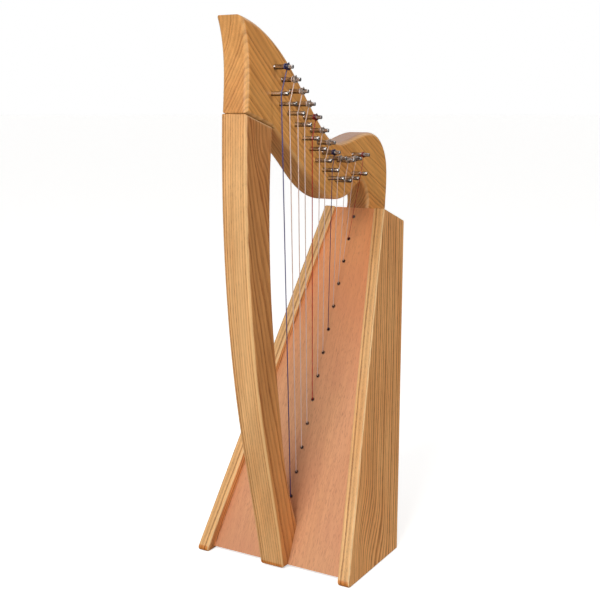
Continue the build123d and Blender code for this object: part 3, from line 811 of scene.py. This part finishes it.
def add_knot(number):
    """The overhand knot that holds the string behind its rib."""
    slot = string_slot(number)
    thick = string_diameter(number)
    centre = BEADS[number]
    sideways = Vector((0, 1, 0))
    across = BOARD_OUT.cross(sideways).normalized()
    size = (BEAD_R - thick * 0.6) / 3.0
    path = []
    for step in range(KNOT_STEPS):
        turn = 2 * math.pi * step / KNOT_STEPS
        u = math.sin(turn) + 2 * math.sin(2 * turn)
        v = math.cos(turn) - 2 * math.cos(2 * turn)
        w = -1.5 * math.sin(3 * turn)
        path.append(centre + (across * u + sideways * v + BOARD_OUT * w) * size)
    path.append(path[-1] + (path[-1] - centre).normalized() * KNOT_TAIL)
    name = f"string_knot_{number + 1:02d}"
    make_piece(name, *tube(path, thick / 2, 10), NYLON[slot], slot, "frame", "string_beads")


# ---- pins --------------------------------------------------------------------
# Each step is how far it lies from the pin's tip, and how far inside its full radius.
SQUARE_STEPS = (
    (0.0, 0.9 * MM), (0.12 * MM, 0.72 * MM), (0.3 * MM, 0.3 * MM), (0.9 * MM, 0.0),
    (0.4 * TUNING_PIN_FLATS, 0.0), (0.7 * TUNING_PIN_FLATS, 0.0), (0.97 * TUNING_PIN_FLATS, 0.0),
    (TUNING_PIN_FLATS, 0.04 * MM),
)
COLLAR_STEPS = (
    (TUNING_PIN_FLATS + 0.12 * MM, 0.12 * MM), (TUNING_PIN_FLATS + 0.3 * MM, 0.0),
)
THREAD_PITCH = 0.5 * MM
THREAD_STEPS = ((0.0, 0.0), (0.25, 0.06 * MM), (0.5, 0.09 * MM), (0.75, 0.06 * MM))
THREAD_ABOVE_FACE = 1.6 * MM
THREAD_END = 1.2 * MM               # the foot below the thread
FOOT_BEVEL = 0.8 * MM
DRILL_REACH = 5.0 * MM
DRILL_GAP = 0.12 * MM
BRIDGE_TIP_STEPS = (
    (0.0, 1.5 * MM), (0.03 * MM, 1.1 * MM), (0.12 * MM, 0.7 * MM), (0.3 * MM, 0.36 * MM),
    (0.55 * MM, 0.12 * MM), (0.9 * MM, 0.0),
)
BRIDGE_FOOT_BEVEL = 0.3 * MM


def round_of(radius):
    return lambda angle: radius


def square_of(from_tip, limit):
    """The radius of the tapered square head, cut off by a round limit."""
    end, root = TUNING_SQUARE[1], TUNING_SQUARE[0]
    half = (end + (root - end) * from_tip / TUNING_PIN_FLATS) / 2
    return lambda angle: min(limit, half / max(abs(math.cos(angle)), abs(math.sin(angle))))


def unlinked(name, points, faces):
    mesh = bpy.data.meshes.new(name)
    mesh.from_pydata(points, [], faces)
    return bpy.data.objects.new(name, mesh)


def drilled(solid, drill):
    """The mesh of a solid with a hole through it; both objects are used up."""
    for item in (solid, drill):
        bpy.context.scene.collection.objects.link(item)
    cut = solid.modifiers.new("hole", "BOOLEAN")
    cut.operation = "DIFFERENCE"
    cut.solver = "EXACT"
    cut.object = drill
    bpy.context.view_layer.update()
    graph = bpy.context.evaluated_depsgraph_get()
    mesh = bpy.data.meshes.new_from_object(solid.evaluated_get(graph))
    for item in (solid, drill):
        bpy.data.objects.remove(item)
    return mesh


def tuning_pin_mesh(low_y, high_y, mouth_arm, hole_y, hole_radius):
    """A tuning pin about the y axis: square head, threaded foot and a cross hole."""
    full = TUNING_PIN_R
    rings = [(low_y + step, square_of(step, full - inside)) for step, inside in SQUARE_STEPS]
    rings += [(low_y + step, round_of(full - inside)) for step, inside in COLLAR_STEPS]
    y = FACE_Y - THREAD_ABOVE_FACE
    while y < high_y - THREAD_END:
        rings += [(y + share * THREAD_PITCH, round_of(full - depth)) for share, depth in THREAD_STEPS]
        y += THREAD_PITCH
    rings += [(high_y - FOOT_BEVEL, round_of(full)), (high_y, round_of(full - FOOT_BEVEL))]
    drill_path = [Vector((0, hole_y, 0)) + mouth_arm * out for out in (-DRILL_REACH, DRILL_REACH)]
    drill = unlinked("drill", *tube(drill_path, hole_radius, 16))
    return drilled(unlinked("pin", *turned(rings)), drill)


def add_tuning_pin(number, mouth_arm, hole_y):
    low, high = TUNING_PINS[number]
    centre = middle_of((low, high))
    hole_radius = string_diameter(number) / 2 + DRILL_GAP
    mesh = tuning_pin_mesh(low.y, high.y, mouth_arm, hole_y, hole_radius)
    mesh.transform(Matrix.Translation((centre.x, 0, centre.z)))
    name, body = f"tuning_pin_{number + 1:02d}", f"tuner_{number + 1:02d}"
    finish_piece(name + "_steel", mesh, steel, "tuner_steel", body, name)


def add_bridge_pin(number):
    """A nickel pin with a rounded tip and a groove that the string bears in."""
    low, high = BRIDGE_PINS[number]
    centre = middle_of((low, high))
    profile = [(low.y + step, BRIDGE_PIN_R - inside) for step, inside in BRIDGE_TIP_STEPS]
    for step in range(11):
        angle = math.pi * step / 10
        depth = (BRIDGE_PIN_R - BRIDGE_GROOVE_R) * math.sin(angle) ** 0.8
        profile.append((STRING_Y - BRIDGE_GROOVE_WIDTH / 2 * math.cos(angle), BRIDGE_PIN_R - depth))
    profile += [
        (FACE_Y, BRIDGE_PIN_R),
        (high.y - BRIDGE_FOOT_BEVEL, BRIDGE_PIN_R),
        (high.y, BRIDGE_PIN_R - BRIDGE_FOOT_BEVEL),
    ]
    points, faces = turned([(y, round_of(radius)) for y, radius in profile], 48)
    points = [point + Vector((centre.x, 0, centre.z)) for point in points]
    name = f"bridge_pin_{number + 1:02d}"
    make_piece(name, points, faces, nickel, "pin_nickel", "frame", "bridge_pins")


for number in range(STRINGS):
    add_string(number)
    add_tuning_pin(number, *add_coil(number))
    add_bridge_pin(number)
    add_knot(number)


# ---- floor, light and surroundings --------------------------------------------
FLOOR_RINGS = (0.6, 2.0, 6.0, 20.0, 60.0)        # radii in metres
FLOOR_SIDES = 64
FLOOR_GAP = 0.2 * MM
PAPER_GLOW = 0.62
FILL_LIGHT = 0.34
FILL_COLOUR = (1.0, 0.985, 0.96, 1)
WHITE = (1, 1, 1, 1)
# What gloss reflects, by the height of the direction it comes from: from, to, and the
# brightness at each. The second range, near the zenith, is multiplied with the first.
SHINE_RANGES = ((0.08, 0.42, 0.06, 1.30), (0.72, 0.95, 1.0, 0.08))


def paper(name):
    """The stage's matt white paper. It glows for the camera, and throws less light on the harp."""
    paint = Paint(name)
    rays = paint.nodes.new("ShaderNodeLightPath").outputs
    seen = rays["Is Camera Ray"]
    fleck = paint.noise(paint.place(), 220.0, 2.0)
    tone = paint.mix(paint.window(fleck, 0.3, 0.7, 0.0, 0.12), rgb(252, 252, 252), rgb(238, 238, 238))
    thrown_back = paint.mix(rays["Is Glossy Ray"], rgb(168, 164, 160), rgb(84, 80, 76))
    glow = paint.math("MULTIPLY", seen, PAPER_GLOW)
    paint.set(Base_Color=paint.mix(seen, thrown_back, tone), Roughness=0.9, Emission_Color=WHITE,
              Emission_Strength=glow)
    return paint.material


def add_floor():
    points, faces = [Vector((0, 0, 0))], []
    for ring, radius in enumerate(FLOOR_RINGS):
        for side in range(FLOOR_SIDES):
            turn = 2 * math.pi * side / FLOOR_SIDES
            points.append(Vector((math.cos(turn), math.sin(turn), 0)) * radius)
            here = 1 + ring * FLOOR_SIDES + side
            beside = 1 + ring * FLOOR_SIDES + (side + 1) % FLOOR_SIDES
            if ring:
                faces.append((here - FLOOR_SIDES, here, beside, beside - FLOOR_SIDES))
            else:
                faces.append((0, here, beside))
    mesh = bpy.data.meshes.new("floor")
    mesh.from_pydata(points, [], faces)
    mesh.materials.append(paper("floor_paper"))
    floor = bpy.data.objects.new("floor", mesh)
    bpy.context.scene.collection.objects.link(floor)
    floor.location.z = -FLOOR_GAP


def add_softbox(name, location, target, size, power, colour=(1, 1, 1)):
    data = bpy.data.lights.new(name, "AREA")
    data.shape = "RECTANGLE"
    data.size, data.size_y = size
    data.energy = power
    data.color = colour
    light = bpy.data.objects.new(name, data)
    bpy.context.scene.collection.objects.link(light)
    light.location = location
    light.rotation_mode = "QUATERNION"
    light.rotation_quaternion = (Vector(target) - Vector(location)).to_track_quat("-Z", "Y")


def add_world():
    """White where the camera sees it, a bright band above the horizon where gloss reflects it."""
    world = bpy.data.worlds.new("studio")
    bpy.context.scene.world = world
    world.use_nodes = True
    nodes, links = world.node_tree.nodes, world.node_tree.links
    nodes.clear()
    shine, fill, seen = (nodes.new("ShaderNodeBackground") for _ in range(3))
    shine.inputs["Color"].default_value = WHITE
    seen.inputs["Color"].default_value = WHITE
    fill.inputs["Color"].default_value = FILL_COLOUR
    fill.inputs["Strength"].default_value = FILL_LIGHT

    direction = nodes.new("ShaderNodeSeparateXYZ")
    links.new(nodes.new("ShaderNodeTexCoord").outputs["Generated"], direction.inputs[0])
    band = nodes.new("ShaderNodeMath")
    band.operation = "MULTIPLY"
    for socket, limits in zip(band.inputs, SHINE_RANGES):
        height = nodes.new("ShaderNodeMapRange")
        height.interpolation_type = "SMOOTHSTEP"
        for name, number in zip(RANGE_SOCKETS, limits):
            height.inputs[name].default_value = number
        links.new(direction.outputs["Z"], height.inputs["Value"])
        links.new(height.outputs[0], socket)
    links.new(band.outputs[0], shine.inputs["Strength"])

    rays = nodes.new("ShaderNodeLightPath").outputs
    lighting, everything = nodes.new("ShaderNodeMixShader"), nodes.new("ShaderNodeMixShader")
    for mixer, ray, otherwise, where_ray in (
        (lighting, "Is Glossy Ray", fill, shine),
        (everything, "Is Camera Ray", lighting, seen),
    ):
        links.new(rays[ray], mixer.inputs[0])
        links.new(otherwise.outputs[0], mixer.inputs[1])
        links.new(where_ray.outputs[0], mixer.inputs[2])
    output = nodes.new("ShaderNodeOutputWorld")
    links.new(everything.outputs[0], output.inputs["Surface"])


add_floor()
add_world()
add_softbox("key", location=(-2.2, -0.1, 1.5), target=(0, 0, 0.3), size=(1.2, 1.2), power=43.5,
            colour=(1.0, 0.98, 0.95))
add_softbox("side", location=(-0.2, -2.2, 0.45), target=(0, 0, 0.25), size=(0.5, 1.4), power=13.0)
bpy.context.scene.view_settings.view_transform = "Standard"

bpy.context.view_layer.update()
